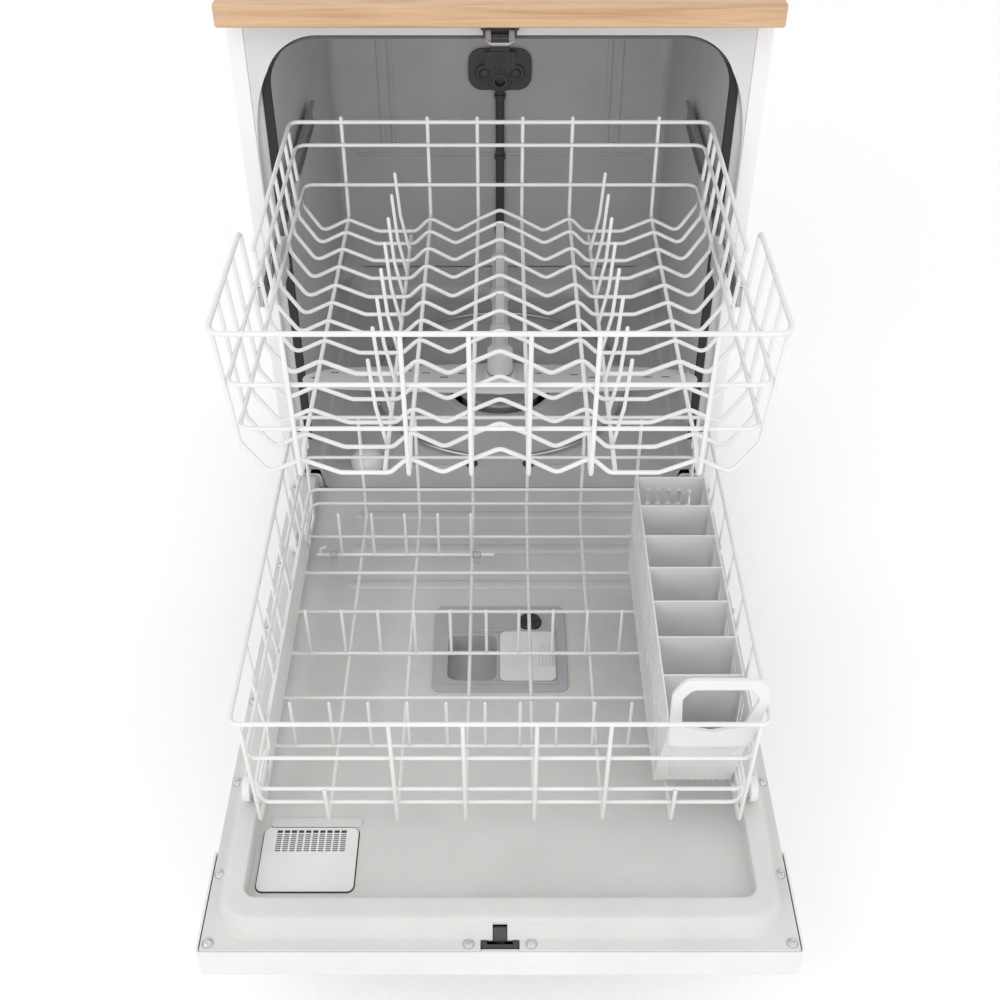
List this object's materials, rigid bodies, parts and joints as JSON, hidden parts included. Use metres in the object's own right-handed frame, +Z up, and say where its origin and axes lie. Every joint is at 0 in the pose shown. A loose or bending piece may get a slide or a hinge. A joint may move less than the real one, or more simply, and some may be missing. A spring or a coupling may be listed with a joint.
{
  "type": "built-in dishwasher",
  "caption": "Dishwasher with its door open and both wire racks drawn out, wood worktop, grey tub, spray arms, cutlery basket and recessed door liner.",
  "frame": {"origin": "on the floor under the middle of the whole footprint, open door included", "axes": "+Z up, +Y from the opened door towards the back of the machine, +X to the right seen from in front"},
  "size_m": [0.61, 1.35, 0.9],
  "materials": {
    "wood": "satin",
    "white_enamel": "gloss",
    "steel": "satin",
    "grey_plastic": "satin",
    "pale_plastic": "satin",
    "liner_plastic": "satin",
    "dark_plastic": "matte",
    "white_nylon": "satin",
    "white_plastic": "gloss",
    "rubber": "matte",
    "cast_iron": "matte"
  },
  "bodies": {
    "cabinet": {"back_panel": "steel", "base_pan": "steel", "door_gasket": "rubber", "door_spring_left": "steel", "door_spring_right": "steel", "drain_pump": "dark_plastic", "front_frame": "pale_plastic", "heating_element": "steel", "levelling_leg_front_left": "dark_plastic", "levelling_leg_front_right": "dark_plastic", "levelling_leg_rear_left": "dark_plastic", "levelling_leg_rear_right": "dark_plastic", "side_panel_left": "white_enamel", "side_panel_right": "white_enamel", "striker_bracket": "dark_plastic", "striker_loop": "steel", "sump": "dark_plastic", "supply_pipe": "dark_plastic", "toe_kick": "white_enamel", "tub": "grey_plastic", "wash_motor": "cast_iron", "water_inlet_manifold": "dark_plastic", "worktop": "wood"},
    "lower_spray_arm": {"lower_spray_arm": "pale_plastic"},
    "filter": {"filter": "pale_plastic"},
    "overfill_float": {"overfill_float": "white_plastic"},
    "door": {"door_panel": "white_enamel", "console": "white_plastic", "door_liner": "liner_plastic", "vent_cover": "pale_plastic", "dispenser_housing": "pale_plastic", "latch_housing": "dark_plastic", "hinge_arm_left": "steel", "hinge_arm_right": "steel"},
    "dispenser_lid": {"dispenser_lid": "pale_plastic"},
    "rinse_aid_cap": {"rinse_aid_cap": "dark_plastic"},
    "latch_pawl": {"latch_pawl": "steel"},
    "timer_dial": {"timer_dial": "white_plastic"},
    "cycle_key_1": {"cycle_key_1": "white_plastic"},
    "cycle_key_2": {"cycle_key_2": "white_plastic"},
    "cycle_key_3": {"cycle_key_3": "white_plastic"},
    "lower_rack": {"lower_rack": "white_nylon"},
    "folding_tine_row": {"folding_tine_row": "white_nylon"},
    "silverware_basket": {"silverware_basket": "white_plastic", "basket_handle": "white_plastic"},
    "upper_rack": {"upper_rack": "white_nylon", "upper_feed_tube": "pale_plastic"},
    "upper_spray_arm": {"upper_spray_arm": "pale_plastic"},
    "upper_track_left": {"upper_track_left": "pale_plastic"},
    "upper_track_right": {"upper_track_right": "pale_plastic"},
    "track_roller_left": {"track_roller_left": "white_plastic"},
    "track_roller_right": {"track_roller_right": "white_plastic"},
    "lower_wheel_front_left": {"lower_wheel_front_left": "white_plastic"},
    "lower_wheel_front_right": {"lower_wheel_front_right": "white_plastic"},
    "lower_wheel_rear_left": {"lower_wheel_rear_left": "white_plastic"},
    "lower_wheel_rear_right": {"lower_wheel_rear_right": "white_plastic"},
    "rack_roller_front_left": {"rack_roller_front_left": "white_plastic"},
    "rack_roller_front_right": {"rack_roller_front_right": "white_plastic"},
    "rack_roller_rear_left": {"rack_roller_rear_left": "white_plastic"},
    "rack_roller_rear_right": {"rack_roller_rear_right": "white_plastic"}
  },
  "joints": [
    {"name": "door_hinge", "type": "hinge", "parent": "cabinet", "child": "door", "pos_m": [0, 0.0105, 0.1825], "axis": [-1, 0, 0], "range_deg": [-2, 0], "stiffness_Nm_per_rad": 200, "springref_deg": 7.45},
    {"name": "lower_rack_slide", "type": "slide", "parent": "cabinet", "child": "lower_rack", "axis": [0, 1, 0], "range_m": [0, 0.641]},
    {"name": "upper_rack_slide", "type": "slide", "parent": "cabinet", "child": "upper_rack", "axis": [0, 1, 0], "range_m": [0, 0.515]},
    {"name": "upper_track_left_slide", "type": "slide", "parent": "cabinet", "child": "upper_track_left", "axis": [0, 1, 0], "range_m": [0, 0.2575]},
    {"name": "track_roller_left_spin", "type": "hinge", "parent": "cabinet", "child": "track_roller_left", "pos_m": [-0.259, 0.095, 0.6227], "axis": [1, 0, 0], "continuous": true},
    {"name": "rack_roller_front_left_spin", "type": "hinge", "parent": "upper_rack", "child": "rack_roller_front_left", "pos_m": [-0.259, -0.095, 0.646], "axis": [1, 0, 0], "continuous": true},
    {"name": "rack_roller_rear_left_spin", "type": "hinge", "parent": "upper_rack", "child": "rack_roller_rear_left", "pos_m": [-0.259, 0.062, 0.646], "axis": [1, 0, 0], "continuous": true},
    {"name": "lower_wheel_front_left_spin", "type": "hinge", "parent": "lower_rack", "child": "lower_wheel_front_left", "pos_m": [-0.272, -0.505, 0.24], "axis": [1, 0, 0], "continuous": true},
    {"name": "lower_wheel_rear_left_spin", "type": "hinge", "parent": "lower_rack", "child": "lower_wheel_rear_left", "pos_m": [-0.272, -0.105, 0.24], "axis": [1, 0, 0], "continuous": true},
    {"name": "upper_track_right_slide", "type": "slide", "parent": "cabinet", "child": "upper_track_right", "axis": [0, 1, 0], "range_m": [0, 0.2575]},
    {"name": "track_roller_right_spin", "type": "hinge", "parent": "cabinet", "child": "track_roller_right", "pos_m": [0.259, 0.095, 0.6227], "axis": [1, 0, 0], "continuous": true},
    {"name": "rack_roller_front_right_spin", "type": "hinge", "parent": "upper_rack", "child": "rack_roller_front_right", "pos_m": [0.259, -0.095, 0.646], "axis": [1, 0, 0], "continuous": true},
    {"name": "rack_roller_rear_right_spin", "type": "hinge", "parent": "upper_rack", "child": "rack_roller_rear_right", "pos_m": [0.259, 0.062, 0.646], "axis": [1, 0, 0], "continuous": true},
    {"name": "lower_wheel_front_right_spin", "type": "hinge", "parent": "lower_rack", "child": "lower_wheel_front_right", "pos_m": [0.272, -0.505, 0.24], "axis": [1, 0, 0], "continuous": true},
    {"name": "lower_wheel_rear_right_spin", "type": "hinge", "parent": "lower_rack", "child": "lower_wheel_rear_right", "pos_m": [0.272, -0.105, 0.24], "axis": [1, 0, 0], "continuous": true},
    {"name": "lower_arm_spin", "type": "hinge", "parent": "cabinet", "child": "lower_spray_arm", "pos_m": [0, 0.335, 0.206], "axis": [0, 0, 1], "continuous": true},
    {"name": "upper_arm_spin", "type": "hinge", "parent": "upper_rack", "child": "upper_spray_arm", "pos_m": [0, -0.1745, 0.545], "axis": [0, 0, 1], "continuous": true},
    {"name": "filter_twist", "type": "hinge", "parent": "cabinet", "child": "filter", "pos_m": [0, 0.335, 0.14], "axis": [0, 0, 1], "range_deg": [0, 90]},
    {"name": "float_rise", "type": "slide", "parent": "cabinet", "child": "overfill_float", "axis": [0, 0, 1], "range_m": [0, 0.015]},
    {"name": "dispenser_lid_slide", "type": "slide", "parent": "door", "child": "dispenser_lid", "axis": [-1, 0, 0], "range_m": [0, 0.066]},
    {"name": "rinse_cap_twist", "type": "hinge", "parent": "door", "child": "rinse_aid_cap", "pos_m": [0.038, -0.222, 0.209], "axis": [0, 0, 1], "range_deg": [0, 90]},
    {"name": "latch_pawl_pivot", "type": "hinge", "parent": "door", "child": "latch_pawl", "pos_m": [0, -0.6618, 0.19], "axis": [1, 0, 0], "range_deg": [0, 35], "stiffness_Nm_per_rad": 0.05},
    {"name": "timer_dial_spin", "type": "hinge", "parent": "door", "child": "timer_dial", "pos_m": [0.205, -0.622, 0.15], "axis": [0, 0, -1], "continuous": true},
    {"name": "cycle_key_1_press", "type": "slide", "parent": "door", "child": "cycle_key_1", "axis": [0, 0, 1], "range_m": [0, 0.003], "stiffness_N_per_m": 300},
    {"name": "cycle_key_2_press", "type": "slide", "parent": "door", "child": "cycle_key_2", "axis": [0, 0, 1], "range_m": [0, 0.003], "stiffness_N_per_m": 300},
    {"name": "cycle_key_3_press", "type": "slide", "parent": "door", "child": "cycle_key_3", "axis": [0, 0, 1], "range_m": [0, 0.003], "stiffness_N_per_m": 300},
    {"name": "tine_row_fold", "type": "hinge", "parent": "lower_rack", "child": "folding_tine_row", "pos_m": [-0.123, -0.136, 0.245], "axis": [1, 0, 0], "range_deg": [0, 78]},
    {"name": "basket_lift", "type": "slide", "parent": "lower_rack", "child": "silverware_basket", "axis": [0, 0, 1], "range_m": [0, 0.12]}
  ],
  "couplings": [
    {"joint": "upper_track_left_slide", "follows": "upper_rack_slide", "ratio": 0.5},
    {"joint": "track_roller_left_spin", "follows": "upper_rack_slide", "rad_per_m": -55.556},
    {"joint": "rack_roller_front_left_spin", "follows": "upper_rack_slide", "rad_per_m": -45.455},
    {"joint": "rack_roller_rear_left_spin", "follows": "upper_rack_slide", "rad_per_m": -45.455},
    {"joint": "lower_wheel_front_left_spin", "follows": "lower_rack_slide", "rad_per_m": -72.993},
    {"joint": "lower_wheel_rear_left_spin", "follows": "lower_rack_slide", "rad_per_m": -72.993},
    {"joint": "upper_track_right_slide", "follows": "upper_rack_slide", "ratio": 0.5},
    {"joint": "track_roller_right_spin", "follows": "upper_rack_slide", "rad_per_m": -55.556},
    {"joint": "rack_roller_front_right_spin", "follows": "upper_rack_slide", "rad_per_m": -45.455},
    {"joint": "rack_roller_rear_right_spin", "follows": "upper_rack_slide", "rad_per_m": -45.455},
    {"joint": "lower_wheel_front_right_spin", "follows": "lower_rack_slide", "rad_per_m": -72.993},
    {"joint": "lower_wheel_rear_right_spin", "follows": "lower_rack_slide", "rad_per_m": -72.993}
  ]
}
